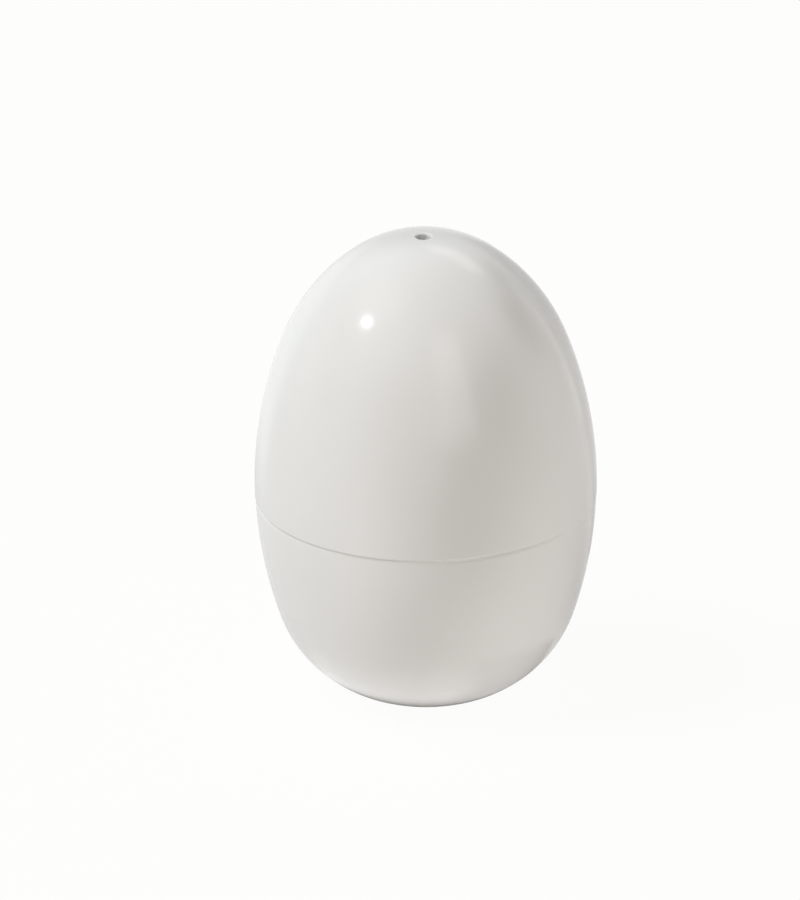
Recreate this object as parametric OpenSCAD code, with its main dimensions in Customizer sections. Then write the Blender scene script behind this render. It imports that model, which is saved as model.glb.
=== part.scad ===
/* [Egg outline] */
// Widest diameter of the closed egg
body_d = 67; // [62:0.5:74]
// Height of the closed egg
body_h = 94; // [84:0.5:106]
// Height of the widest place
belly_h = 42; // [36:0.1:48]
// Radius of the side curve above the belly, against that of an ellipse of the same size
fullness = 1.032; // [1:0.002:1.06]
// Place on that ellipse at which the side gives way to the shoulder, in degrees
shoulder_turn = 30.4; // [26:0.1:34]
// Place on that ellipse at which the shoulder gives way to the tip, in degrees
tip_turn = 63.6; // [60:0.1:68]
// Radius of the side curve below the belly
low_side_r = 83.3; // [76:0.1:92]
// Angle below the belly at which the side gives way to the lower corner
corner_angle = 18.6; // [16:0.1:21]
// Diameter of the flat foot
foot_d = 29.5; // [26:0.1:34]

/* [Moulded shells] */
// Height of the seam between the base and the lid
seam_h = 39.6; // [37:0.1:43]
// Thickness of the moulded walls
wall = 2.4; // [2.2:0.1:3]
// Thickness of the base's floor
floor_t = 2.6; // [2:0.1:4]
// Thickness of the lid's lip outside the collar
lip_t = 1.15; // [0.9:0.05:1.3]
// Rounding of the lid's edge at the seam
lid_edge = 0.2; // [0.1:0.05:0.5]
// Rounding of the base's edge at the seam
base_edge = 0.25; // [0.1:0.05:0.6]
// How far the base's outside stands back from the lid's
base_step = 0.12; // [0.04:0.02:0.24]
// Chamfer inside the mouth of the lid's socket
lead_in = 0.3; // [0.1:0.05:0.4]

/* [Collar] */
// Height of the collar above the seam
collar_h = 6; // [4.5:0.5:9]
// Rounding of the collar's top edges
collar_edge = 0.3; // [0.2:0.05:0.4]
// Gap between the collar and the lid's lip
collar_gap = 0.2; // [0.15:0.05:0.35]
// Number of grip ribs round the collar
grips = 8; // [4:1:16]
// Radius of a grip rib
grip_r = 0.5; // [0.4:0.05:0.8]
// Gap that is left between a grip rib and the lid's lip
grip_gap = 0.06; // [0.04:0.01:0.12]
// Width of the two finger notches in the collar
notch_w = 14; // [10:0.5:18]
// Depth of the finger notches
notch_depth = 3; // [2:0.25:4]

/* [Foot and water] */
// Width of the ring that the egg stands on
foot_w = 2.6; // [2:0.1:5]
// Depth of the recess inside that ring
foot_recess = 0.8; // [0.4:0.1:1.2]
// Rounding of the foot's outer edge
foot_edge = 1; // [0.5:0.1:2]
// Height of the bead that marks how far to fill the base
fill_h = 15; // [11:0.5:20]
// How far that bead stands out from the wall
fill_bead = 0.4; // [0.3:0.05:0.8]

/* [Vent] */
// Diameter of the vent hole
vent_d = 2.9; // [2:0.1:4]
// Rounding of the vent's upper edge
vent_edge = 0.45; // [0.2:0.05:0.8]
// Wall of the tube that leads the vent through the dome
vent_wall = 1.3; // [1:0.1:2]
// How far that tube reaches below the dome
vent_reach = 1.2; // [0.6:0.1:2.5]

/* [Sheet metal] */
// Thickness of the drawn aluminium
sheet = 0.6; // [0.4:0.05:0.8]
// Air gap between the dome and the lid's wall
dome_gap = 1.2; // [1:0.1:2]
// Gap between the dome's centre hole and the vent tube
dome_hole_gap = 0.4; // [0.2:0.05:0.8]
// Gap between the dome's flange and the lid's wall
flange_gap = 0.4; // [0.3:0.05:0.6]
// Radius of the bend between the dome and its flange
flange_bend = 0.8; // [0.4:0.1:1.2]

/* [Dome ring] */
// Thickness of the ring's ledge under the dome's flange
ring_t = 1.2; // [0.9:0.1:2]
// Height of the ring's inner lip above its underside
ring_lip_h = 3.4; // [2.6:0.1:5]
// Thickness of that lip
ring_lip_t = 0.9; // [0.7:0.1:1.4]
// Rounding of the ring's lower edges
ring_edge = 0.4; // [0.2:0.05:0.6]
// Gap between the ring and what is round it
ring_gap = 0.3; // [0.2:0.05:0.45]
// Number of snap lugs that carry the ring
lugs = 4; // [3:1:6]
// Angle that one lug spans
lug_angle = 14; // [8:1:24]
// Height of a lug
lug_h = 1; // [0.8:0.1:1.6]
// How far a lug stands in from the lid's wall
lug_depth = 0.9; // [0.7:0.05:1.2]
// Number of stop ribs above the dome's flange
stops = 8; // [4:1:12]
// Angle that one stop rib spans
stop_angle = 3; // [2:0.5:6]
// Height of a stop rib
stop_h = 4; // [3:0.5:8]
// How far a stop rib stands in from the lid's wall
stop_depth = 0.8; // [0.6:0.05:0.9]

/* [Egg tray] */
// Depth of the tray's deck below the collar's top
pan_depth = 9; // [7:0.5:11]
// Radius of the pan's lower corner, inside
pan_corner = 2.4; // [1.5:0.1:4]
// Gap between the pan and the base's wall
pan_gap = 0.5; // [0.3:0.05:1]
// Radius of the bowl that holds the egg's blunt end
egg_end_r = 21; // [19:0.5:23]
// Diameter of the bowl's mouth
mouth_d = 35; // [30:0.5:37]
// Rounding of the bowl's mouth
mouth_round = 1.8; // [1.2:0.1:2.4]
// Thickness of the hemmed rim
hem_t = 1.2; // [1:0.1:1.6]
// Gap between the rim and the lid's lip
rim_gap = 0.25; // [0.2:0.05:0.4]
// Radius of the bend between the rim and the pan
rim_bend = 0.9; // [0.5:0.1:1]
// Gap above the rim, under the lid's step
rim_clear = 0.4; // [0.3:0.05:0.8]
// Number of steam holes in the deck
steam_holes = 12; // [8:1:16]
// Diameter of a steam hole
steam_d = 4; // [3:0.25:5]
// Number of drain holes round the bowl's bottom
drain_holes = 6; // [4:1:8]
// Diameter of a drain hole
drain_d = 3; // [2:0.25:4]
// Diameter of the circle that the drain holes lie on
drain_circle_d = 19; // [15:0.5:22]
// Diameter of the hole in the middle of the bowl
middle_d = 9; // [6:0.5:11]

/* [Hidden] */
$fn = 96;

plastic = [0.93, 0.92, 0.90];
aluminium = [0.78, 0.79, 0.80];

// Cuts run this far past a face
over = 1;
// A tighter arc stands this much proud where it leaves a flatter one, so that the two cross
lap = 0.0003;
// Two arcs run together for this height at their join
join = 1;

// Rounded to a thousandth, so that the two side arcs end in one point
function fine(length) = round(length * 1000) / 1000;

// Above the belly the outline is three arcs that follow an ellipse: side, shoulder and tip
belly_r = body_d / 2;
rise = body_h - belly_h;
side_r = fine(fullness * rise * rise / belly_r);
side_cx = belly_r - side_r;
shoulder_angle = atan(tan(shoulder_turn) * belly_r / rise);
tip_angle = atan(tan(tip_turn) * belly_r / rise);
run_x = belly_r - side_r * (1 - cos(shoulder_angle));
run_z = rise - side_r * sin(shoulder_angle);
turn_x = cos(shoulder_angle) - cos(tip_angle);
turn_z = sin(tip_angle) - sin(shoulder_angle);
turn = turn_x * (1 - sin(tip_angle)) - turn_z * cos(tip_angle);
shoulder_r = (run_x * (1 - sin(tip_angle)) - run_z * cos(tip_angle)) / turn;
shoulder_cx = side_cx + (side_r - shoulder_r) * cos(shoulder_angle);
shoulder_cz = belly_h + (side_r - shoulder_r) * sin(shoulder_angle);
tip_r = (run_z * turn_x - run_x * turn_z) / turn;
tip_cz = body_h - tip_r;
tip_tight = tip_r < shoulder_r;

// Below the belly it is two arcs: a side and a corner that ends at the foot
foot_r = foot_d / 2;
low_side_cx = belly_r - low_side_r;
corner_out = low_side_cx + low_side_r * cos(corner_angle) - foot_r;
corner_up = belly_h - low_side_r * sin(corner_angle);
corner_lean = corner_out * cos(corner_angle) - corner_up * sin(corner_angle);
corner_r = (corner_out * corner_out + corner_up * corner_up) / (2 * corner_lean);
corner_cx = foot_r + corner_out - corner_r * cos(corner_angle);
corner_cz = corner_up + corner_r * sin(corner_angle);

// Heights at which the arcs meet, on the outline moved in by inset
function tip_join(inset) = shoulder_cz + (shoulder_r - inset) * sin(tip_angle);
function side_join(inset) = belly_h + (side_r - inset) * sin(shoulder_angle);
function corner_join(inset) = belly_h - (low_side_r - inset) * sin(corner_angle);

// Where a circle's right side is at height z
function circle_x(cx, cz, r, z) = cx + sqrt(r * r - (z - cz) * (z - cz));

// The side arc's radius and its centre's place at height z
function side_r_at(z) = z < belly_h ? low_side_r : side_r;
function side_cx_at(z) = belly_r - side_r_at(z);

// Where the outline moved in by inset is at height z, beside the side arcs or the corner
function side_x(z, inset) = circle_x(side_cx_at(z), belly_h, side_r_at(z) - inset, z);
function corner_x(z, inset) = circle_x(corner_cx, corner_cz, corner_r - inset, z);
function wall_x(z, inset) = z < corner_join(inset) ? corner_x(z, inset) : side_x(z, inset);

// Angle at which a side arc's centre sees the point at x and height z
function side_turn(x, z) = atan2(z - belly_h, x - side_cx_at(z));

function along(angle, length) = [length * cos(angle), length * sin(angle)];

// The collar stands in the lid's socket and carries the tray's rim
collar_top = seam_h + collar_h;
socket_r = side_x(seam_h, 0) - lip_t;
collar_r = socket_r - collar_gap;
socket_top = collar_top + hem_t + rim_clear;
notch_r = (notch_w * notch_w / 4 + notch_depth * notch_depth) / (2 * notch_depth);

// The ring lies on the lugs, the dome's flange on the ring, and the stop ribs on the flange
ring_z = socket_top + lug_h;
flange_z = ring_z + ring_t;
stop_z = flange_z + sheet;
ring_lip_top = ring_z + ring_lip_h;
dome_in = wall + dome_gap + sheet;
ring_out_r = side_x(flange_z, wall) - ring_gap;
ring_in_r = side_x(ring_lip_top, dome_in) - ring_gap - ring_lip_t;
flange_r = side_x(stop_z, wall) - flange_gap;
vent_r = vent_d / 2;
vent_tube_r = vent_r + vent_wall;
vent_end = body_h - dome_in - vent_reach;

// The tray's deck lies between the pan's wall and the bowl's mouth
rim_r = socket_r - rim_gap;
rim_top = collar_top + hem_t;
pan_in_r = side_x(collar_top, wall) - pan_gap - sheet;
deck_top = collar_top - pan_depth;
mouth_r = mouth_d / 2;
bowl_cz = deck_top + sqrt(egg_end_r * egg_end_r - mouth_r * mouth_r);
mouth_cz = deck_top - mouth_round;
mouth_cx = circle_x(0, bowl_cz, egg_end_r + mouth_round, mouth_cz);
steam_circle_r = (mouth_cx + pan_in_r - pan_corner) / 2;

// The part of a disc between two heights, right of the axis
module arc_band(cx, cz, r, low, high) {
    intersection() {
        translate([cx, cz]) circle(r, $fn = 360);
        polygon([[0, low], [body_d, low], [body_d, high], [0, high]]);
    }
}

// Half of the egg's section, moved in by inset
module egg(inset) {
    side_top = side_join(inset);
    side_low = corner_join(inset);
    shoulder_top = tip_join(inset) + (tip_tight ? 0 : join);
    tip_low = tip_join(inset) - (tip_tight ? join : 0);
    arc_band(side_cx, belly_h, side_r - inset, belly_h, side_top);
    arc_band(shoulder_cx, shoulder_cz, shoulder_r - inset + lap, side_top - join, shoulder_top);
    arc_band(0, tip_cz, tip_r - inset + (tip_tight ? 2 * lap : 0), tip_low, body_h + over);
    arc_band(low_side_cx, belly_h, low_side_r - inset, side_low, belly_h);
    arc_band(corner_cx, corner_cz, corner_r - inset + lap, 0, side_low + join);
}

// A rectangle from one corner to the other
module block(x0, z0, x1, z1) {
    polygon([[x0, z0], [x1, z0], [x1, z1], [x0, z1]]);
}

// What a rounding of radius r takes off an edge, between two angles seen from its centre
module edge_cut(centre, r, from, to) {
    difference() {
        translate(centre)
            polygon([[0, 0], along(from, 2 * r), along((from + to) / 2, 2 * r), along(to, 2 * r)]);
        translate(centre) circle(r + lap, $fn = 64);
    }
}

// Rounds the edge between the outline moved in by inset and a level face, seen up or down from z
module side_edge_cut(z, inset, r, face_angle) {
    cx = side_x(z, inset + r);
    edge_cut([cx, z], r, face_angle, side_turn(cx, z));
}

module base_section() {
    foot_cx = corner_x(foot_edge, base_step + foot_edge);
    difference() {
        union() {
            intersection() {
                egg(base_step);
                block(0, 0, body_d, seam_h);
            }
            block(0, seam_h - over, collar_r, collar_top);
        }
        intersection() {
            egg(wall);
            block(0, floor_t, body_d, body_h);
        }
        side_edge_cut(seam_h - base_edge, base_step, base_edge, 90);
        edge_cut([collar_r - collar_edge, collar_top - collar_edge], collar_edge, 0, 90);
        edge_cut([foot_cx, foot_edge], foot_edge, -90, atan2(foot_edge - corner_cz, foot_cx - corner_cx));
        block(0, -over, foot_r - foot_w, foot_recess);
    }
    intersection() {
        translate([wall_x(fill_h, wall), fill_h]) circle(fill_bead, $fn = 32);
        egg(wall / 2);
    }
}

// Half-round rib that takes up the play between collar and lid, tapered at its top
module grip_rib() {
    foot_z = seam_h + collar_h / 6;
    taper = collar_h / 6;
    translate([socket_r - grip_gap - grip_r, 0, foot_z])
        cylinder(r = grip_r, h = collar_h - 3 * taper, $fn = 32);
    translate([socket_r - grip_gap - grip_r, 0, collar_top - 2 * taper])
        cylinder(r1 = grip_r, r2 = grip_r / 2, h = taper, $fn = 32);
}

module base_shell() {
    color(plastic) difference() {
        union() {
            rotate_extrude() base_section();
            for (i = [0:grips - 1]) rotate([0, 0, (i + 0.5) * 360 / grips]) grip_rib();
        }
        translate([-body_d / 2, 0, collar_top - notch_depth + notch_r])
            rotate([0, 90, 0]) cylinder(r = notch_r, h = body_d);
    }
}

// The tray's upper surface for t = 0 and its underside for t = sheet: all that lies above it
module tray_form(t) {
    corner = pan_corner + t;
    r = pan_in_r + t;
    low = deck_top - t;
    block(0, low, r - corner, rim_top + over);
    block(0, low + corner, r, rim_top + over);
    translate([r - corner, low + corner]) circle(corner + lap, $fn = 64);
    arc_band(0, bowl_cz, egg_end_r + t, 0, low + over);
    edge_cut([mouth_cx, mouth_cz], mouth_round - t, 90, atan2(bowl_cz - mouth_cz, -mouth_cx));
}

module tray_section() {
    difference() {
        union() {
            intersection() {
                tray_form(sheet);
                block(0, 0, body_d, rim_top);
            }
            block(pan_in_r, collar_top, rim_r - hem_t / 2, rim_top);
            translate([rim_r - hem_t / 2, collar_top + hem_t / 2]) circle(hem_t / 2 + lap, $fn = 48);
        }
        tray_form(0);
        edge_cut([pan_in_r + rim_bend, rim_top - rim_bend], rim_bend, 90, 180);
    }
}

module egg_tray() {
    color(aluminium) difference() {
        rotate_extrude() tray_section();
        for (i = [0:steam_holes - 1]) rotate([0, 0, i * 360 / steam_holes])
            translate([steam_circle_r, 0, deck_top - sheet - over])
                cylinder(d = steam_d, h = sheet + 2 * over, $fn = 32);
        for (i = [0:drain_holes - 1]) rotate([0, 0, i * 360 / drain_holes])
            translate([drain_circle_d / 2, 0, 0])
                cylinder(d = drain_d, h = deck_top, $fn = 32);
        cylinder(d = middle_d, h = deck_top, $fn = 32);
    }
}

module lid_section() {
    vent_cx = vent_r + vent_edge;
    vent_cz = tip_cz + sqrt(pow(tip_r - vent_edge, 2) - vent_cx * vent_cx);
    difference() {
        union() {
            difference() {
                intersection() {
                    egg(0);
                    block(0, seam_h, body_d, body_h + over);
                }
                egg(wall);
                block(0, seam_h - over, socket_r, socket_top);
            }
            intersection() {
                egg(wall / 2);
                block(0, vent_end, vent_tube_r, body_h);
            }
        }
        block(0, seam_h, vent_r, body_h + over);
        side_edge_cut(seam_h + lid_edge, 0, lid_edge, -90);
        polygon([[socket_r - lead_in, seam_h - lead_in],
                 [socket_r + 2 * lead_in, seam_h - lead_in],
                 [socket_r - lead_in, seam_h + 2 * lead_in]]);
        edge_cut([vent_cx, vent_cz], vent_edge, atan2(vent_cz - tip_cz, vent_cx), 180);
    }
}

// A rib or lug inside the lid's wall, round the angle 0
module wall_rib(low, high, depth, angle) {
    rotate([0, 0, -angle / 2]) rotate_extrude(angle = angle) difference() {
        intersection() {
            egg(wall / 2);
            block(0, low, body_d, high);
        }
        egg(wall + depth);
    }
}

module lid_shell() {
    color(plastic) {
        rotate_extrude() lid_section();
        for (i = [0:lugs - 1]) rotate([0, 0, i * 360 / lugs])
            wall_rib(socket_top, ring_z, lug_depth, lug_angle);
        for (i = [0:stops - 1]) rotate([0, 0, (i + 0.5) * 360 / stops])
            wall_rib(stop_z, stop_z + stop_h, stop_depth, stop_angle);
    }
}

module reflector_section() {
    bend_z = flange_z + flange_bend;
    bend_cx = side_x(bend_z, dome_in - flange_bend);
    difference() {
        union() {
            intersection() {
                egg(dome_in - sheet);
                block(0, flange_z, body_d, body_h);
            }
            block(ring_in_r, flange_z, flange_r, stop_z);
        }
        egg(dome_in);
        edge_cut([bend_cx, bend_z], flange_bend, -90, side_turn(bend_cx, bend_z) - 180);
        block(0, flange_z, vent_tube_r + dome_hole_gap, body_h);
    }
}

module lid_reflector() {
    color(aluminium) rotate_extrude() reflector_section();
}

module ring_section() {
    lip_r = ring_lip_t / 2;
    difference() {
        union() {
            block(ring_in_r, ring_z, ring_out_r, flange_z);
            block(ring_in_r, ring_z, ring_in_r + ring_lip_t, ring_lip_top - lip_r);
            translate([ring_in_r + lip_r, ring_lip_top - lip_r]) circle(lip_r + lap, $fn = 48);
        }
        edge_cut([ring_in_r + ring_edge, ring_z + ring_edge], ring_edge, -180, -90);
        edge_cut([ring_out_r - ring_edge, ring_z + ring_edge], ring_edge, -90, 0);
    }
}

module reflector_ring() {
    color(plastic) rotate_extrude() ring_section();
}

base_shell();
egg_tray();
lid_shell();
lid_reflector();
reflector_ring();
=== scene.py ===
"""A white egg-shaped microwave egg cooker on a pale floor, dressed round its CAD frame."""
import math

import bmesh
import bpy
from mathutils import Matrix, Vector


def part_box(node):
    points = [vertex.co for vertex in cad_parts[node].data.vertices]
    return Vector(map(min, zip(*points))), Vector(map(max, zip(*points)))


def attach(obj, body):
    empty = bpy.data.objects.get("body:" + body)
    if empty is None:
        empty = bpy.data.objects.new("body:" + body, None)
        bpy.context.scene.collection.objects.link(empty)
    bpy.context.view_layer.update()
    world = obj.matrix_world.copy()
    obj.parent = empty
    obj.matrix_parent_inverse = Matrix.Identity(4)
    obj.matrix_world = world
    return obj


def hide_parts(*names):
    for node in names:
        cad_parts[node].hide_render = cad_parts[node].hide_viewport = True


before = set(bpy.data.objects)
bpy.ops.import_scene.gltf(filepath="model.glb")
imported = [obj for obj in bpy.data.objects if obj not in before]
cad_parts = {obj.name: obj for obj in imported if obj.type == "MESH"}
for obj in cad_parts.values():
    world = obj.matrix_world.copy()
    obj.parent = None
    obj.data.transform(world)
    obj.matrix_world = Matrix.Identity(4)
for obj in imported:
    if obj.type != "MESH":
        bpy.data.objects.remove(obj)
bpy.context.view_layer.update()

MM = 0.001

# Outline of the egg: arcs that share a tangent where they meet, three above the belly and two below.
# These sizes are the source's own. Most come from a fit to the egg's edges in the photo, rounded
BODY_D = 67 * MM
BODY_H = 94 * MM
BELLY_H = 42 * MM
FULLNESS = 1.032
SHOULDER_TURN = 30.4
TIP_TURN = 63.6
LOW_SIDE_R = 83.3 * MM
CORNER_ANGLE = 18.6
FOOT_D = 29.5 * MM

# Moulded shells
SEAM_H = 39.6 * MM
WALL = 2.4 * MM
FLOOR_T = 2.6 * MM
LIP_T = 1.15 * MM
LID_EDGE = 0.35 * MM
BASE_EDGE = 1.8 * MM
LID_TURN = 65
BASE_TURN = 30
BASE_STEP = 0.12 * MM
LEAD_IN = 0.3 * MM
INNER_EDGE = 0.25 * MM
COLLAR_H = 6 * MM
COLLAR_EDGE = 0.3 * MM
COLLAR_GAP = 0.2 * MM
GRIPS = 8
GRIP_R = 0.5 * MM
GRIP_GAP = 0.06 * MM
GRIP_SIDES = 20
NOTCH_W = 14 * MM
NOTCH_DEPTH = 3 * MM
NOTCH_START = 0.1 * MM
FOOT_W = 2.6 * MM
FOOT_RECESS = 0.8 * MM
FOOT_EDGE = 1 * MM
FILL_H = 15 * MM
FILL_BEAD = 0.4 * MM
VENT_R = 1.45 * MM
VENT_EDGE = 0.45 * MM
VENT_WALL = 1.3 * MM
VENT_REACH = 1.2 * MM

# Sheet metal dome, its ring in the lid, and the hem of the tray's rim
SHEET = 0.6 * MM
DOME_GAP = 1.2 * MM
DOME_HOLE_GAP = 0.4 * MM
FLANGE_GAP = 0.4 * MM
FLANGE_BEND = 0.8 * MM
RING_T = 1.2 * MM
RING_LIP_H = 3.4 * MM
RING_LIP_T = 0.9 * MM
RING_EDGE = 0.4 * MM
RING_HEEL_EDGE = 0.1 * MM
RING_GAP = 0.3 * MM
LUGS = 4
LUG_ANGLE = 14
LUG_H = 1 * MM
LUG_DEPTH = 0.9 * MM
STOPS = 8
STOP_ANGLE = 3
STOP_H = 4 * MM
STOP_DEPTH = 0.8 * MM
HEM_T = 1.2 * MM
RIM_CLEAR = 0.4 * MM


# Outline


def cosine(angle):
    return math.cos(math.radians(angle))


def sine(angle):
    return math.sin(math.radians(angle))


def upper_radii():
    """Radii of the shoulder and the tip that close the outline at its height."""
    run_x = BODY_D / 2 - SIDE_R * (1 - cosine(SHOULDER_ANGLE))
    run_z = RISE - SIDE_R * sine(SHOULDER_ANGLE)
    turn_x = cosine(SHOULDER_ANGLE) - cosine(TIP_ANGLE)
    turn_z = sine(TIP_ANGLE) - sine(SHOULDER_ANGLE)
    tip_rise = 1 - sine(TIP_ANGLE)
    turn = turn_x * tip_rise - turn_z * cosine(TIP_ANGLE)
    shoulder = (run_x * tip_rise - run_z * cosine(TIP_ANGLE)) / turn
    return shoulder, (run_z * turn_x - run_x * turn_z) / turn


def corner_arc():
    """Centre and radius of the arc from the lower side to the foot."""
    out = BODY_D / 2 - LOW_SIDE_R * (1 - cosine(CORNER_ANGLE)) - FOOT_D / 2
    up = BELLY_H - LOW_SIDE_R * sine(CORNER_ANGLE)
    radius = (out ** 2 + up ** 2) / (2 * (out * cosine(CORNER_ANGLE) - up * sine(CORNER_ANGLE)))
    centre = (FOOT_D / 2 + out - radius * cosine(CORNER_ANGLE), up + radius * sine(CORNER_ANGLE))
    return centre, radius


RISE = BODY_H - BELLY_H
SIDE_R = round(FULLNESS * RISE ** 2 / (BODY_D / 2), 6)
SHOULDER_ANGLE = math.degrees(math.atan(math.tan(math.radians(SHOULDER_TURN)) * BODY_D / 2 / RISE))
TIP_ANGLE = math.degrees(math.atan(math.tan(math.radians(TIP_TURN)) * BODY_D / 2 / RISE))
SHOULDER_R, TIP_R = upper_radii()
SIDE_CX = BODY_D / 2 - SIDE_R
SHOULDER_C = (SIDE_CX + (SIDE_R - SHOULDER_R) * cosine(SHOULDER_ANGLE),
              BELLY_H + (SIDE_R - SHOULDER_R) * sine(SHOULDER_ANGLE))
TIP_C = (0, BODY_H - TIP_R)
LOW_SIDE_CX = BODY_D / 2 - LOW_SIDE_R
CORNER_C, CORNER_R = corner_arc()
OUTLINE = [
    (CORNER_C, CORNER_R, -90, -CORNER_ANGLE),
    ((LOW_SIDE_CX, BELLY_H), LOW_SIDE_R, -CORNER_ANGLE, 0),
    ((SIDE_CX, BELLY_H), SIDE_R, 0, SHOULDER_ANGLE),
    (SHOULDER_C, SHOULDER_R, SHOULDER_ANGLE, TIP_ANGLE),
    (TIP_C, TIP_R, TIP_ANGLE, 90),
]

# Longest stretch between a section's points: on walls that show, on hidden walls and on small roundings
FINE = 0.5 * MM
COARSE = 1.2 * MM
BEND_STEP = 0.15 * MM
SMALL_STEP = 0.1 * MM
EDGE_STEP = 0.08 * MM
VENT_STEP = 0.06 * MM
CORNER_STEPS = 5

# Faces round a whole turn, and the degrees that one face of a lug or rib takes
CASE_SEGMENTS = 256
DOME_SEGMENTS = 192
WEDGE_STEP = 2

# Points nearer than this are one, and an edge that turns by more degrees than this stays sharp
MERGE_WITHIN = 1e-7
SHARP_FROM = 40


def arc(centre, radius, start, end, step=FINE):
    """Points along an arc from one angle to another, no further apart than step."""
    count = max(3, math.ceil(abs(math.radians(end - start)) * radius / step))
    angles = [start + (end - start) * i / count for i in range(count + 1)]
    return [(centre[0] + radius * cosine(a), centre[1] + radius * sine(a)) for a in angles]


def wall_line(inset, low, high, step):
    """The outline moved in by inset, from one height up to another."""
    points = []
    for centre, radius, start, end in OUTLINE:
        r = radius - inset
        if centre[1] + r * sine(start) < low:
            start = math.degrees(math.asin(min(1, (low - centre[1]) / r)))
        if centre[1] + r * sine(end) > high:
            end = math.degrees(math.asin(max(-1, (high - centre[1]) / r)))
        if end - start > 0.01:
            points += arc(centre, r, start, end, step)
    return points


def circle_x(centre, radius, z):
    """Where a circle's outer side is at height z."""
    return centre[0] + math.sqrt(radius ** 2 - (z - centre[1]) ** 2)


def side_x(z, inset):
    """Where the outline moved in by inset is at height z, beside the side arcs."""
    radius = LOW_SIDE_R if z < BELLY_H else SIDE_R
    return circle_x((BODY_D / 2 - radius, BELLY_H), radius - inset, z)


def side_turn(x, z):
    """Angle at which the side arc's centre sees a point."""
    radius = LOW_SIDE_R if z < BELLY_H else SIDE_R
    return math.degrees(math.atan2(z - BELLY_H, x - BODY_D / 2 + radius))


def rounded(before, corner, after, radius):
    """Points that round the corner between two straight lines."""
    into = (Vector(before) - Vector(corner)).normalized()
    out = (Vector(after) - Vector(corner)).normalized()
    half = into.angle(out) / 2
    start = Vector(corner) + into * radius / math.tan(half)
    end = Vector(corner) + out * radius / math.tan(half)
    centre = Vector(corner) + (into + out).normalized() * radius / math.sin(half)
    first = start - centre
    turn = first.angle_signed(end - centre)
    spins = [Matrix.Rotation(-turn * i / CORNER_STEPS, 2) for i in range(CORNER_STEPS + 1)]
    return [tuple(spin @ first + centre) for spin in spins]


COLLAR_TOP = SEAM_H + COLLAR_H
SOCKET_R = side_x(SEAM_H, 0) - LIP_T
SOCKET_TOP = COLLAR_TOP + HEM_T + RIM_CLEAR
COLLAR_R = SOCKET_R - COLLAR_GAP
RING_Z = SOCKET_TOP + LUG_H
FLANGE_Z = RING_Z + RING_T
STOP_Z = FLANGE_Z + SHEET
DOME_IN = WALL + DOME_GAP + SHEET
VENT_TUBE_R = VENT_R + VENT_WALL
VENT_END = BODY_H - DOME_IN - VENT_REACH


# Sections, each counter-clockwise with the axis on its left. Each point is x, z and its polish


def lid_section():
    """The lid's wall, the socket for the collar, and the vent with its tube."""
    edge_z = SEAM_H + LID_EDGE * sine(LID_TURN)
    edge_x = side_x(edge_z, LID_EDGE)
    edge_turn = side_turn(edge_x, edge_z)
    vent_x = VENT_R + VENT_EDGE
    vent_z = TIP_C[1] + math.sqrt((TIP_R - VENT_EDGE) ** 2 - vent_x ** 2)
    vent_turn = math.degrees(math.atan2(vent_z - TIP_C[1], vent_x))
    outside = wall_line(0, edge_z, BODY_H, FINE)
    outside = [p for p in outside if p[1] < BELLY_H or p[0] > vent_x + VENT_EDGE / 2]
    inside = wall_line(WALL, SOCKET_TOP, BODY_H, COARSE)[::-1]
    inside = [p for p in inside if p[0] > VENT_TUBE_R]
    tube_top = TIP_C[1] + math.sqrt((TIP_R - WALL) ** 2 - VENT_TUBE_R ** 2)
    tube = [(VENT_R, BODY_H), (VENT_R, VENT_END), (VENT_TUBE_R, VENT_END), (VENT_TUBE_R, tube_top)]
    step_x = side_x(SOCKET_TOP, WALL)
    socket = [(step_x, SOCKET_TOP), (SOCKET_R, SOCKET_TOP), (SOCKET_R, SEAM_H + LEAD_IN)]
    mouth = [(SOCKET_R, SEAM_H + LEAD_IN), (SOCKET_R + LEAD_IN, SEAM_H)]
    polished = arc((edge_x, edge_z), LID_EDGE, -LID_TURN, edge_turn, EDGE_STEP) + outside
    polished += arc((vent_x, vent_z), VENT_EDGE, vent_turn, 180, VENT_STEP)
    plain = rounded(*tube[0:3], INNER_EDGE) + rounded(*tube[1:4], INNER_EDGE)
    plain += [tube[3]] + inside
    plain += rounded(*socket, INNER_EDGE) + mouth
    return [(x, z, 1) for x, z in polished] + [(x, z, 0) for x, z in plain]


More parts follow.
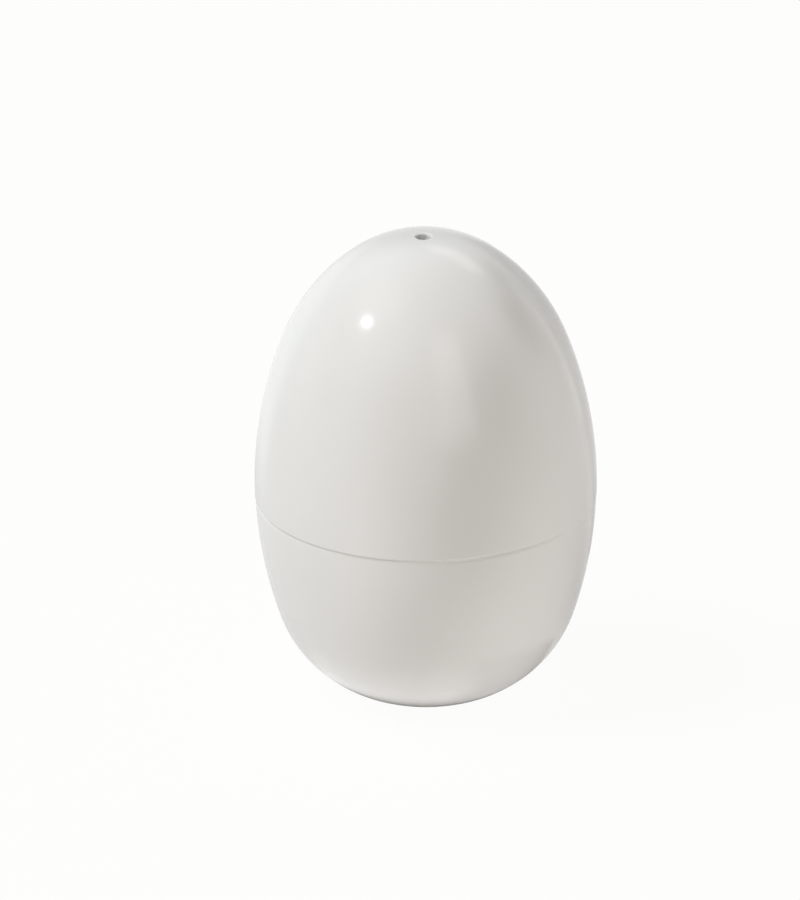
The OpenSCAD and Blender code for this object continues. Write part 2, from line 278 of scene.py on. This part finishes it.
def base_section():
    """The recessed foot, the wall, the collar, and the fill line's bead inside."""
    foot_x = circle_x(CORNER_C, CORNER_R - BASE_STEP - FOOT_EDGE, FOOT_EDGE)
    foot_turn = math.degrees(math.atan2(FOOT_EDGE - CORNER_C[1], foot_x - CORNER_C[0]))
    foot_join = CORNER_C[1] + (CORNER_R - BASE_STEP) * sine(foot_turn)
    foot_in = FOOT_D / 2 - FOOT_W
    edge_z = SEAM_H - BASE_EDGE * sine(BASE_TURN)
    edge_x = side_x(edge_z, BASE_STEP + BASE_EDGE)
    edge_turn = side_turn(edge_x, edge_z)
    edge_join = edge_z + BASE_EDGE * sine(edge_turn)
    recess = [(0, FOOT_RECESS), (foot_in, FOOT_RECESS), (foot_in, 0), (foot_x, 0)]
    collar = [(COLLAR_R, SEAM_H), (COLLAR_R, COLLAR_TOP),
              (side_x(COLLAR_TOP, WALL), COLLAR_TOP), (side_x(SEAM_H, WALL), SEAM_H)]
    polished = arc((foot_x, FOOT_EDGE), FOOT_EDGE, -90, foot_turn, SMALL_STEP)
    polished += wall_line(BASE_STEP, foot_join, edge_join, FINE)
    polished += arc((edge_x, edge_z), BASE_EDGE, edge_turn, BASE_TURN, EDGE_STEP)
    under = [recess[0]] + rounded(*recess[0:3], INNER_EDGE) + rounded(*recess[1:4], INNER_EDGE)
    plain = [collar[0]] + [(COLLAR_R, SEAM_H + COLLAR_H * i / 4) for i in range(1, 4)]
    plain += rounded(*collar[0:3], COLLAR_EDGE) + rounded(*collar[1:4], INNER_EDGE)
    inside = wall_line(WALL, FLOOR_T, COLLAR_TOP - 2 * INNER_EDGE, COARSE)[::-1]
    bead_x = min(inside, key=lambda p: abs(p[1] - FILL_H))[0]
    bead = arc((bead_x, FILL_H), FILL_BEAD, 80, 280, SMALL_STEP)
    above = [p for p in inside if p[1] > FILL_H + FILL_BEAD]
    below = [p for p in inside if p[1] < FILL_H - FILL_BEAD]
    plain += above + bead + below + [(0, FLOOR_T)]
    return ([(x, z, 0) for x, z in under] + [(x, z, 1) for x, z in polished]
            + [(x, z, 0) for x, z in plain])


def dome_section():
    """The metal dome with its flange and the hole for the vent tube."""
    flange_r = side_x(STOP_Z, WALL) - FLANGE_GAP
    hole_r = VENT_TUBE_R + DOME_HOLE_GAP
    bend_z = FLANGE_Z + FLANGE_BEND
    bend_x = side_x(bend_z, DOME_IN - FLANGE_BEND)
    bend_turn = side_turn(bend_x, bend_z) - 180
    outside = wall_line(DOME_IN - SHEET, STOP_Z, BODY_H, COARSE)
    outside = [p for p in outside if p[0] > hole_r]
    inside = wall_line(DOME_IN, bend_z, BODY_H, COARSE)[::-1]
    inside = [p for p in inside if p[0] > hole_r]
    rim = arc((flange_r - SHEET / 2, FLANGE_Z + SHEET / 2), SHEET / 2, -90, 90, SMALL_STEP)
    bend = arc((bend_x, bend_z), FLANGE_BEND, bend_turn, -90, BEND_STEP)
    return [(x, z, 1) for x, z in bend + rim + outside + inside]


def ring_section():
    """The ring that carries the dome's flange, with a lip inside it."""
    outer = side_x(FLANGE_Z, WALL) - RING_GAP
    inner = side_x(RING_Z + RING_LIP_H, DOME_IN) - RING_GAP - RING_LIP_T
    lip_top = RING_Z + RING_LIP_H
    lip = (inner + RING_LIP_T / 2, lip_top - RING_LIP_T / 2)
    foot = [(inner, lip_top), (inner, RING_Z), (outer, RING_Z), (outer, FLANGE_Z), (inner, FLANGE_Z)]
    points = rounded(*foot[0:3], RING_EDGE) + rounded(*foot[1:4], RING_EDGE)
    points += rounded(*foot[2:5], RING_HEEL_EDGE) + [(inner + RING_LIP_T, FLANGE_Z)]
    points += arc(lip, RING_LIP_T / 2, 0, 180, BEND_STEP)
    return [(x, z, 0) for x, z in points]


# Node trees


class Term:
    """One socket in an expression. Each operator adds the Math node that works it out."""

    def __init__(self, maker, socket):
        self.maker = maker
        self.socket = socket

    def __add__(self, other):
        return self.maker.math("ADD", self, other)

    __radd__ = __add__

    def __sub__(self, other):
        return self.maker.math("SUBTRACT", self, other)

    def __rsub__(self, other):
        return self.maker.math("SUBTRACT", other, self)

    def __mul__(self, other):
        return self.maker.math("MULTIPLY", self, other)

    __rmul__ = __mul__

    def __truediv__(self, other):
        return self.maker.math("DIVIDE", self, other)

    def __rtruediv__(self, other):
        return self.maker.math("DIVIDE", other, self)

    def __pow__(self, other):
        return self.maker.math("POWER", self, other)


class Maker:
    """Adds nodes to one tree."""

    def __init__(self, tree):
        self.tree = tree

    def node(self, kind, settings=None, sockets=None):
        """One node of a type, with its settings made first and then its sockets' values or links."""
        made = self.tree.nodes.new(kind)
        for name, value in (settings or {}).items():
            if name == "stops":
                for stop, (place, colour) in zip(made.color_ramp.elements, value):
                    stop.position = place
                    stop.color = colour
            else:
                setattr(made, name, value)
        for key, value in (sockets or {}).items():
            if isinstance(value, Term):
                self.tree.links.new(value.socket, made.inputs[key])
            else:
                made.inputs[key].default_value = value
        return made

    def value(self, kind, settings=None, sockets=None, output=0):
        """The same, as a term that expressions take."""
        return Term(self, self.node(kind, settings, sockets).outputs[output])

    def math(self, operation, *values):
        return self.value("ShaderNodeMath", {"operation": operation}, dict(enumerate(values)))


def new_tree(name, inputs):
    """An empty geometry tree with named inputs, its maker and its input terms."""
    tree = bpy.data.node_groups.new(name, "GeometryNodeTree")
    tree.interface.new_socket("Geometry", in_out="OUTPUT", socket_type="NodeSocketGeometry")
    tree.interface.new_socket("Geometry", in_out="INPUT", socket_type="NodeSocketGeometry")
    for label, kind in inputs.items():
        tree.interface.new_socket(label, in_out="INPUT", socket_type="NodeSocket" + kind)
    maker = Maker(tree)
    entry = maker.node("NodeGroupInput")
    terms = {label: Term(maker, entry.outputs[label]) for label in ["Geometry", *inputs]}
    return tree, maker, terms


def finish_tree(maker, geometry, finish):
    """Realizes the instances, sets the material and ends the tree."""
    solid = maker.value("GeometryNodeRealizeInstances", None, {"Geometry": geometry})
    dressed = maker.value("GeometryNodeSetMaterial", None, {"Geometry": solid, "Material": finish})
    maker.node("NodeGroupOutput", None, {"Geometry": dressed})


def smooth_shade(maker, geometry, sharp_from):
    """Smooth faces, with an edge left sharp where it turns by more than an angle."""
    faces = maker.value("GeometryNodeSetShadeSmooth", {"domain": "FACE"}, {"Geometry": geometry})
    edge = maker.value("GeometryNodeInputMeshEdgeAngle")
    soft = maker.value("FunctionNodeCompare", {"data_type": "FLOAT", "operation": "LESS_THAN"},
                       {"A": edge, "B": math.radians(sharp_from)})
    return maker.value("GeometryNodeSetShadeSmooth", {"domain": "EDGE"},
                       {"Geometry": faces, "Selection": soft, "Shade Smooth": True})


def turned_tree():
    """Turns a section, a line of points in the XZ plane, about the Z axis."""
    tree, m, given = new_tree("Turned from its section", {"Segments": "Int", "Finish": "Material"})
    section, segments = given["Geometry"], given["Segments"]
    rows = m.value("GeometryNodeAttributeDomainSize", {"component": "MESH"}, {"Geometry": section})
    grid = m.value("GeometryNodeMeshGrid", None, {"Vertices X": segments + 1, "Vertices Y": rows})
    index = m.value("GeometryNodeInputIndex")
    column = m.math("FLOOR", (index + 0.5) / rows)
    row = index - column * rows
    angle = column / segments * math.tau
    place = m.value("GeometryNodeInputPosition")
    on_section = m.value("GeometryNodeSampleIndex", {"data_type": "FLOAT_VECTOR"},
                         {"Geometry": section, "Value": place, "Index": row})
    split = m.node("ShaderNodeSeparateXYZ", None, {0: on_section})
    radius, height = Term(m, split.outputs[0]), Term(m, split.outputs[2])
    turned = m.value("ShaderNodeCombineXYZ", None, {
        0: radius * m.math("COSINE", angle), 1: radius * m.math("SINE", angle), 2: height})
    polish = m.value("GeometryNodeInputNamedAttribute", {"data_type": "FLOAT"}, {"Name": "polish"})
    polish_here = m.value("GeometryNodeSampleIndex", {"data_type": "FLOAT"},
                          {"Geometry": section, "Value": polish, "Index": row})
    marked = m.value("GeometryNodeStoreNamedAttribute", {"data_type": "FLOAT", "domain": "POINT"},
                     {"Geometry": grid, "Name": "polish", "Value": polish_here})
    moved = m.value("GeometryNodeSetPosition", None, {"Geometry": marked, "Position": turned})
    closed = m.value("GeometryNodeMergeByDistance", None, {"Geometry": moved, "Distance": MERGE_WITHIN})
    finish_tree(m, smooth_shade(m, closed, SHARP_FROM), given["Finish"])
    return tree


def ringed_tree():
    """Sets copies of a piece round the Z axis."""
    inputs = {"Count": "Int", "First": "Float", "Finish": "Material"}
    tree, m, given = new_tree("Set round the axis", inputs)
    points = m.value("GeometryNodePoints", None, {"Count": given["Count"]})
    index = m.value("GeometryNodeInputIndex")
    turn = m.value("ShaderNodeCombineXYZ", None, {2: (index + given["First"]) / given["Count"] * math.tau})
    copies = m.value("GeometryNodeInstanceOnPoints", None, {
        "Points": points, "Instance": given["Geometry"], "Rotation": turn})
    finish_tree(m, copies, given["Finish"])
    return tree


def grown(piece, tree, values):
    """Runs a tree on a piece and keeps the result as its plain mesh."""
    modifier = piece.modifiers.new(tree.name, "NODES")
    modifier.node_group = tree
    for item in tree.interface.items_tree:
        if item.in_out == "INPUT" and item.name in values:
            modifier[item.identifier] = values[item.name]
    bpy.context.view_layer.update()
    seen = piece.evaluated_get(bpy.context.evaluated_depsgraph_get())
    mesh = bpy.data.meshes.new_from_object(seen)
    piece.modifiers.clear()
    piece.data = mesh
    return piece


def new_piece(name, mesh):
    piece = bpy.data.objects.new(name, mesh)
    bpy.context.scene.collection.objects.link(piece)
    return piece


def section_mesh(name, points, closed):
    """The section as a line of points with its polish, the last point joined to the first if closed."""
    mesh = bpy.data.meshes.new(name)
    line = points + points[:1] if closed else points
    edges = [(i, i + 1) for i in range(len(line) - 1)]
    mesh.from_pydata([(x * FIT, 0, z * FIT_Z) for x, z, _ in line], edges, [])
    polish = mesh.attributes.new("polish", "FLOAT", "POINT")
    polish.data.foreach_set("value", [float(p) for _, _, p in line])
    return mesh


def turned(name, points, closed, segments, finish):
    """A piece turned from its section."""
    piece = new_piece(name, section_mesh(name, points, closed))
    return grown(piece, TURNED, {"Segments": segments, "Finish": finish})


TURNED = turned_tree()
RINGED = ringed_tree()

# The CAD's faces are chords, so its box is a little smaller than the true curves
lid_low, lid_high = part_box("lid_shell")
FIT = min(-lid_low[0], lid_high[0], -lid_low[1], lid_high[1]) / (BODY_D / 2)
FIT_Z = min(1, lid_high[2] / max(z for _, z, _ in lid_section()))


# Finishes


PLASTIC_IOR = 1.47
CASE_TONES = ((0.798, 0.791, 0.781, 1), (0.818, 0.811, 0.805, 1))
SATIN_TONES = ((0.78, 0.78, 0.76, 1), (0.81, 0.81, 0.79, 1))
METAL_TONES = ((0.68, 0.69, 0.70, 1), (0.78, 0.785, 0.795, 1))
GRAIN_DRIFT = 0.6 * MM


def new_material(name):
    """A material with no nodes yet, and its maker."""
    finish = bpy.data.materials.new(name)
    finish.use_nodes = True
    finish.node_tree.nodes.clear()
    return finish, Maker(finish.node_tree)


def new_finish(name):
    """A material, its maker and its Principled shader."""
    finish, m = new_material(name)
    shader = m.node("ShaderNodeBsdfPrincipled")
    m.node("ShaderNodeOutputMaterial", None, {"Surface": Term(m, shader.outputs[0])})
    return finish, m, shader


def link(m, term, socket):
    m.tree.links.new(term.socket, socket)


def noise(m, scale, detail=2.0):
    """Noise on the piece's own coordinates, from 0 to 1."""
    place = m.value("ShaderNodeTexCoord", None, None, "Object")
    return m.value("ShaderNodeTexNoise", None, {"Vector": place, "Scale": scale, "Detail": detail})


def give_tone(m, shader, factor, tones):
    """A base colour between two tones."""
    tone = m.value("ShaderNodeMix", {"data_type": "RGBA"}, {"Factor": factor, 6: tones[0], 7: tones[1]}, 2)
    link(m, tone, shader.inputs["Base Color"])


def give_bump(m, shader, strength, depth, height):
    """A normal that follows a height pattern."""
    bump = m.value("ShaderNodeBump", None, {"Strength": strength, "Distance": depth, "Height": height})
    link(m, bump, shader.inputs["Normal"])


def white_plastic():
    """Polished white polypropylene outside, satin where the polish attribute is 0."""
    finish, m, shader = new_finish("white_plastic")
    polish = m.value("ShaderNodeAttribute", {"attribute_name": "polish"}, None, "Fac")
    cloud = noise(m, 38)
    give_tone(m, shader, cloud, CASE_TONES)
    link(m, 0.42 - polish * 0.28 + (cloud - 0.5) * 0.05, shader.inputs["Roughness"])
    shader.inputs["IOR"].default_value = PLASTIC_IOR
    swell = noise(m, 95, 1.0)
    grain = noise(m, 2600)
    give_bump(m, shader, 0.25, 0.04 * MM, swell + grain * 0.06)
    return finish


def satin_plastic():
    """The dome ring's satin white."""
    finish, m, shader = new_finish("satin_plastic")
    cloud = noise(m, 60)
    give_tone(m, shader, cloud, SATIN_TONES)
    link(m, 0.38 + cloud * 0.12, shader.inputs["Roughness"])
    shader.inputs["IOR"].default_value = PLASTIC_IOR
    give_bump(m, shader, 0.3, 0.03 * MM, noise(m, 3000))
    return finish


def spun_aluminium(name, roughness):
    """Aluminium drawn and brushed round the axis: fine rings in its polish."""
    finish, m, shader = new_finish(name)
    place = m.value("ShaderNodeTexCoord", None, None, "Object")
    split = m.node("ShaderNodeSeparateXYZ", None, {0: place})
    x, y, z = (Term(m, socket) for socket in split.outputs)
    radius = (x * x + y * y) ** 0.5
    drift = m.math("ARCTAN2", y, x) * GRAIN_DRIFT
    ring_place = m.value("ShaderNodeCombineXYZ", None, {0: radius, 1: z, 2: drift})
    rings = m.value("ShaderNodeTexNoise", None, {"Vector": ring_place, "Scale": 2400, "Detail": 3.0})
    broad = m.value("ShaderNodeTexNoise", None, {"Vector": ring_place, "Scale": 260, "Detail": 1.0})
    stain = noise(m, 70)
    give_tone(m, shader, stain * 0.6 + rings * 0.4, METAL_TONES)
    shader.inputs["Metallic"].default_value = 1.0
    link(m, roughness + rings * 0.14 + broad * 0.06, shader.inputs["Roughness"])
    give_bump(m, shader, 0.35, 0.03 * MM, rings + broad * 0.5)
    return finish


WHITE = white_plastic()
SATIN = satin_plastic()
TRAY_METAL = spun_aluminium("tray_aluminium", 0.2)
DOME_METAL = spun_aluminium("dome_aluminium", 0.26)


# Pieces


def skinned_mesh(name, loops):
    """A closed mesh over loops that all have as many points."""
    bm = bmesh.new()
    rows = [[bm.verts.new(point) for point in loop] for loop in loops]
    count = len(rows[0])
    for near, far in zip(rows, rows[1:]):
        for k in range(count):
            bm.faces.new((near[k], far[k], far[(k + 1) % count], near[(k + 1) % count]))
    bm.faces.new(rows[0])
    bm.faces.new(rows[-1][::-1])
    bmesh.ops.recalc_face_normals(bm, faces=bm.faces)
    mesh = bpy.data.meshes.new(name)
    bm.to_mesh(mesh)
    bm.free()
    return mesh


def wedge_mesh(name, outline, angle):
    """A short solid arc of a section, round the angle 0."""
    steps = max(2, round(angle / WEDGE_STEP))
    turns = [-angle / 2 + angle * i / steps for i in range(steps + 1)]
    return skinned_mesh(name, [[(x * cosine(a), x * sine(a), z) for x, z in outline] for a in turns])


def wall_rib_outline(low, high, depth):
    """The section of a rib or lug that stands in from the lid's wall."""
    inner = wall_line(WALL + depth, low, high, COARSE)
    outer = wall_line(WALL / 2, low, high, COARSE)
    return outer + inner[::-1]


def grip_mesh():
    """A half-round grip rib at the angle 0, tapered at its top."""
    taper = COLLAR_H / 6
    cx = SOCKET_R - GRIP_GAP - GRIP_R
    levels = [(SEAM_H + taper, GRIP_R), (COLLAR_TOP - 2 * taper, GRIP_R), (COLLAR_TOP - taper, GRIP_R / 2)]
    turns = range(0, 360, 360 // GRIP_SIDES)
    loops = [[(cx + r * cosine(a), r * sine(a), z) for a in turns] for z, r in levels]
    return skinned_mesh("grip_rib", loops)


def ringed(name, mesh, count, first):
    """Copies of a mesh set round the axis, the first one turned by a share of a step."""
    return grown(new_piece(name, mesh), RINGED, {"Count": count, "First": first, "Finish": WHITE})


def joined(piece, others):
    """Adds the other pieces' meshes to the first one's and removes them."""
    bm = bmesh.new()
    for each in [piece, *others]:
        bm.from_mesh(each.data)
    bm.to_mesh(piece.data)
    bm.free()
    for each in others:
        bpy.data.objects.remove(each)
    return piece


def cut_notches(piece):
    """Lowers the collar's top along a round cutter that lies across it."""
    radius = (NOTCH_W ** 2 / 4 + NOTCH_DEPTH ** 2) / (2 * NOTCH_DEPTH)
    cutter_z = COLLAR_TOP - NOTCH_DEPTH + radius
    for vertex in piece.data.vertices:
        x, y, z = vertex.co
        if z > SEAM_H + NOTCH_START and abs(y) < NOTCH_W / 2:
            floor_z = cutter_z - math.sqrt(radius ** 2 - y ** 2)
            share = (z - SEAM_H) / COLLAR_H
            vertex.co.z = SEAM_H + share * (min(floor_z, COLLAR_TOP) - SEAM_H)


def placed(piece, body, node):
    """Gives a piece its body and hides the CAD node that it replaces."""
    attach(piece, body)
    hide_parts(node)


def make_lid():
    lid = turned("lid_case", lid_section(), True, CASE_SEGMENTS, WHITE)
    stop = wedge_mesh("stop_rib", wall_rib_outline(STOP_Z, STOP_Z + STOP_H, STOP_DEPTH), STOP_ANGLE)
    stops = ringed("stops", stop, STOPS, 0.5)
    lug = wedge_mesh("lug", wall_rib_outline(SOCKET_TOP, RING_Z, LUG_DEPTH), LUG_ANGLE)
    lugs = ringed("lugs", lug, LUGS, 0.0)
    placed(joined(lid, [stops, lugs]), "lid", "lid_shell")


def make_base():
    base = turned("base_case", base_section(), False, CASE_SEGMENTS, WHITE)
    cut_notches(base)
    grips = ringed("grips", grip_mesh(), GRIPS, 0.5)
    placed(joined(base, [grips]), "base", "base_shell")


def make_dome():
    dome = turned("dome", dome_section(), True, DOME_SEGMENTS, DOME_METAL)
    placed(dome, "lid", "lid_reflector")
    ring = turned("dome_ring", ring_section(), True, DOME_SEGMENTS, SATIN)
    placed(ring, "lid", "reflector_ring")


def make_tray():
    """The tray is the CAD's own solid in its finish."""
    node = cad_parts["egg_tray"]
    node.data.materials.clear()
    node.data.materials.append(TRAY_METAL)


make_lid()
make_base()
make_dome()
make_tray()


# Stage


# The camera's place comes from a fit of the egg's edges, its seam and its vent to the photo
CAMERA_AWAY = 3.0
CAMERA_FAR = 20
CAMERA_RISE = 23.41
CAMERA_ROLL = -0.59
LENS = 613.5
AIM_RIGHT = -4.98 * MM
AIM_UP = 1.553 * MM
AIM_H = 47 * MM


def make_camera():
    data = bpy.data.cameras.new("camera")
    data.lens = LENS
    data.clip_end = CAMERA_FAR
    camera = bpy.data.objects.new("camera", data)
    bpy.context.scene.collection.objects.link(camera)
    back = Vector((0, -cosine(CAMERA_RISE), sine(CAMERA_RISE)))
    up = Vector((0, sine(CAMERA_RISE), cosine(CAMERA_RISE)))
    right = Vector((1, 0, 0))
    aim = Vector((0, 0, AIM_H)) + right * AIM_RIGHT + up * AIM_UP
    turn = Matrix((right, up, back)).transposed().to_4x4()
    roll = Matrix.Rotation(math.radians(CAMERA_ROLL), 4, "Z")
    camera.matrix_world = Matrix.Translation(aim + back * CAMERA_AWAY) @ turn @ roll
    bpy.context.scene.camera = camera


def way_to(azimuth, rise):
    """A direction from the egg. Azimuth 0 is behind it and 90 is on its right."""
    return Vector((sine(azimuth) * cosine(rise), cosine(azimuth) * cosine(rise), sine(rise)))


def soft_step(m, value, edge, width):
    """0 below an edge and 1 above it, over a soft width."""
    return m.value("ShaderNodeMapRange", {"interpolation_type": "SMOOTHSTEP"},
                   {0: value, 1: edge - width / 2, 2: edge + width / 2})


def lobe(m, way, azimuth, rise, spread):
    """1 along one direction, falling off softly round it."""
    aligned = m.value("ShaderNodeVectorMath", {"operation": "DOT_PRODUCT"},
                      {0: way, 1: way_to(azimuth, rise)}, "Value")
    return m.math("EXPONENT", (aligned - 1) * spread)


def room_light(m, way, glossy):
    """White to the eye. In the gloss a bright room with soft places, panels and faint tints. Below the
    horizon only the floor's glow shows it, and some dark places there are painted shadow of the egg.
    """
    split = m.node("ShaderNodeSeparateXYZ", None, {0: way})
    x, y, z = (Term(m, socket) for socket in split.outputs)
    azimuth = m.math("ARCTAN2", x, y) * (180 / math.pi)
    rise = m.math("ARCSINE", z) * (180 / math.pi)
    room = ROOM_LOW + soft_step(m, z, ROOM_MIDDLE, ROOM_BLEND) * (ROOM_HIGH - ROOM_LOW)
    for place, place_rise, spread, depth in SOFT_PLACES:
        room = room - lobe(m, way, place, place_rise, spread) * depth
    for (left, left_soft), (right, right_soft), (low, high), soft, light in PANELS:
        across = soft_step(m, azimuth, left, left_soft) * (1 - soft_step(m, azimuth, right, right_soft))
        up = soft_step(m, rise, low, soft) * (1 - soft_step(m, rise, high, soft))
        room = room + across * up * light
    channels = [room, room, room]
    for place, place_rise, spread, tint in TINTS:
        tinted = lobe(m, way, place, place_rise, spread)
        channels = [channel + tinted * share for channel, share in zip(channels, tint)]
    return m.value("ShaderNodeCombineXYZ", None, {
        i: (1 + glossy * (m.math("MAXIMUM", channel, ROOM_DARKEST) - 1)) * WHITE_LIGHT[i]
        for i, channel in enumerate(channels)})


def mirror_and_eye(m):
    """Light path terms: 1 for a glossy ray, and 1 for one that goes straight to the eye."""
    path = m.node("ShaderNodeLightPath")
    camera, passed, glossy = (Term(m, path.outputs[name]) for name in
                              ("Is Camera Ray", "Is Transmission Ray", "Is Glossy Ray"))
    return glossy, m.math("MAXIMUM", camera, passed)


def make_floor():
    """A white floor that keeps the object's shadow. In the gloss it glows with the room's light, and there
    the egg's shadow under and right of the foot is painted shadow.
    """
    bm = bmesh.new()
    bmesh.ops.create_grid(bm, x_segments=1, y_segments=1, size=FLOOR_HALF)
    mesh = bpy.data.meshes.new("floor")
    bm.to_mesh(mesh)
    bm.free()
    floor = new_piece("floor", mesh)
    floor.location.z = -FLOOR_DROP
    finish, m = new_material("white_floor")
    glossy, eye = mirror_and_eye(m)
    place = m.value("ShaderNodeNewGeometry", None, None, "Position")
    from_egg = m.value("ShaderNodeVectorMath", {"operation": "SUBTRACT"}, {0: place, 1: (0, 0, AIM_H)})
    way = m.value("ShaderNodeVectorMath", {"operation": "NORMALIZE"}, {0: from_egg})
    matt = m.value("ShaderNodeBsdfDiffuse", None, {"Color": FLOOR_COLOUR})
    glow = m.value("ShaderNodeEmission", None, {"Color": room_light(m, way, glossy)})
    share = m.math("MAXIMUM", m.math("MAXIMUM", glossy, eye) * FLOOR_WHITE, FLOOR_BOUNCE)
    mixed = m.value("ShaderNodeMixShader", None, {0: share, 1: matt, 2: glow})
    m.node("ShaderNodeOutputMaterial", None, {"Surface": mixed})
    mesh.materials.append(finish)


def make_world():
    world = bpy.data.worlds.new("studio")
    bpy.context.scene.world = world
    world.use_nodes = True
    world.node_tree.nodes.clear()
    m = Maker(world.node_tree)
    glossy, eye = mirror_and_eye(m)
    way = m.value("ShaderNodeTexCoord", None, None, "Generated")
    soft = m.value("ShaderNodeBackground", None, {"Color": WORLD_COLOUR, "Strength": WORLD_LIGHT})
    room = m.value("ShaderNodeBackground", None, {"Color": room_light(m, way, glossy)})
    mixed = m.value("ShaderNodeMixShader", None, {0: m.math("MAXIMUM", glossy, eye), 1: soft, 2: room})
    m.node("ShaderNodeOutputWorld", None, {"Surface": mixed})


def make_lamp(name, azimuth, rise, away, width, height, power, colour=(1, 1, 1), tilt=0, mirrored=False):
    """A soft box that faces the egg. Only a mirrored one, which is round, shows in the gloss."""
    data = bpy.data.lights.new(name, "AREA")
    data.shape = "ELLIPSE" if mirrored else "RECTANGLE"
    data.size = width
    data.size_y = height
    data.energy = power
    data.color = colour
    lamp = bpy.data.objects.new(name, data)
    bpy.context.scene.collection.objects.link(lamp)
    way = way_to(azimuth, rise)
    lamp.location = Vector((0, 0, AIM_H)) + way * away
    turn = way.to_track_quat("Z", "Y").to_matrix() @ Matrix.Rotation(math.radians(tilt), 3, "Z")
    lamp.rotation_euler = turn.to_euler()
    lamp.visible_glossy = mirrored


# Floor: half its width, its drop below the foot, its colour under the lamps, how white it looks to
# the eye and in the gloss, and the least share of that glow in what it throws on the egg
FLOOR_HALF = 4
FLOOR_DROP = 0.05 * MM
FLOOR_COLOUR = (0.86, 0.86, 0.85, 1)
FLOOR_WHITE = 0.95
FLOOR_BOUNCE = 0.4

# The world's light on matt faces, its colour, and the tint of the white that the eye sees
WORLD_LIGHT = 0.26
WORLD_COLOUR = (0.99, 0.99, 0.955, 1)
WHITE_LIGHT = (1, 1, 0.99)

# Soft boxes: how far from the egg, how wide, and how high the strips near the floor are
BOX_AWAY = 1.2
BOX_SIZE = 0.7
STRIP_H = 0.05

# Most numbers of the room below, and several lamp powers, came out of a scratch program that fitted
# them to the photo. They were rounded and partly changed. This is an open fault.
# Light low and high in the room, the z of a direction at which one gives way to the other, how softly
# it does, and the least light that a place is left with
ROOM_LOW = 1.36
ROOM_HIGH = 2.35
ROOM_MIDDLE = 0.45
ROOM_BLEND = 0.9
ROOM_DARKEST = 0.03

# Azimuth, rise, tightness and depth of each soft dark place. A depth below 0 makes a bright one
SOFT_PLACES = [
    (155, -10, 11, 1.6),
    (-77, 22, 6, 2.15),
    (-87, -42, 3, 0.65),
    # Painted shadow: the egg's own shadow on the floor right of the foot, as the floor's glow shows it in
    # the gloss
    (68, -33, 8, 1.0),
    (-173, -41, 18, 1.05),
    (69, 27, 30, 1.6),
    (44, 28, 60, 0.7),
    (106, 16, 7, 0.45),
    (121, 14, 12, 0.9),
    (107, -46, 12, 0.38),
    (36, 12, 15, 0.85),
    (38, 9, 40, -0.6),
    (-145, -24, 15, -1.15),
    (174, 11, 20, -0.95),
    (-8, 26, 13, 1.05),
    (-23, -12, 12, 0.5),
    (-170, -27, 25, -0.6),
]

# Each panel's sides with their softness, its low and high edges, the softness of those and its light
PANELS = [
    ((143, 3), (170, 17), (5, 53), 7, 1.35),
    ((10, 9), (45, 4), (-35, 14), 5, -0.33),
    ((-54, 3), (-15, 15), (-18, 14), 13, 0.4),
    ((43, 3), (52, 3), (-11, 21), 3, 0.25),
    ((5, 15), (51, 8), (40, 52), 5, 1.2),
    ((-200, 1), (-100, 20), (-66, -54), 5, 0.3),
    ((150, 10), (200, 1), (-66, -53), 5, 0.45),
    # Painted shadow: the egg's contact shadow on the floor under the foot, in the floor's glow in the
    # gloss
    ((-200, 1), (200, 1), (-96, -69), 6, -1.1),
    # Painted shadow: the egg's shadow on the floor right of the foot, in the floor's glow in the gloss
    ((89, 14), (161, 20), (-68, -52), 4, -0.6),
]

# Azimuth, rise and tightness of each faint tint, and what it adds to red, green and blue
TINTS = [
    (-48, 4, 30, (-0.15, 0, 0.05)),
    (136, 25, 30, (-0.15, 0, 0.1)),
    (95, 32, 30, (-0.12, 0, 0.08)),
]

make_camera()
make_floor()
make_world()
make_lamp("key", -94, 55, BOX_AWAY, BOX_SIZE, BOX_SIZE, 9.1, (0.98, 1, 1))
make_lamp("left_fill", -90, 30, BOX_AWAY, BOX_SIZE, BOX_SIZE, 1.4)
make_lamp("right_fill", 90, 6, BOX_AWAY, BOX_SIZE, BOX_SIZE, 3.8, (1, 0.965, 0.93))
make_lamp("low_right", 120, -1.5, BOX_AWAY, BOX_SIZE, STRIP_H, 0.95, (1, 0.85, 0.7))
make_lamp("low_front", 180, -1.5, BOX_AWAY, BOX_SIZE, STRIP_H, 1.1, (1, 0.65, 0.35))
make_lamp("spark", -103.5, 46.4, 1.54, 0.3, 0.16, 1.4, tilt=19.5, mirrored=True)

scene = bpy.context.scene
scene.view_settings.view_transform = "Standard"
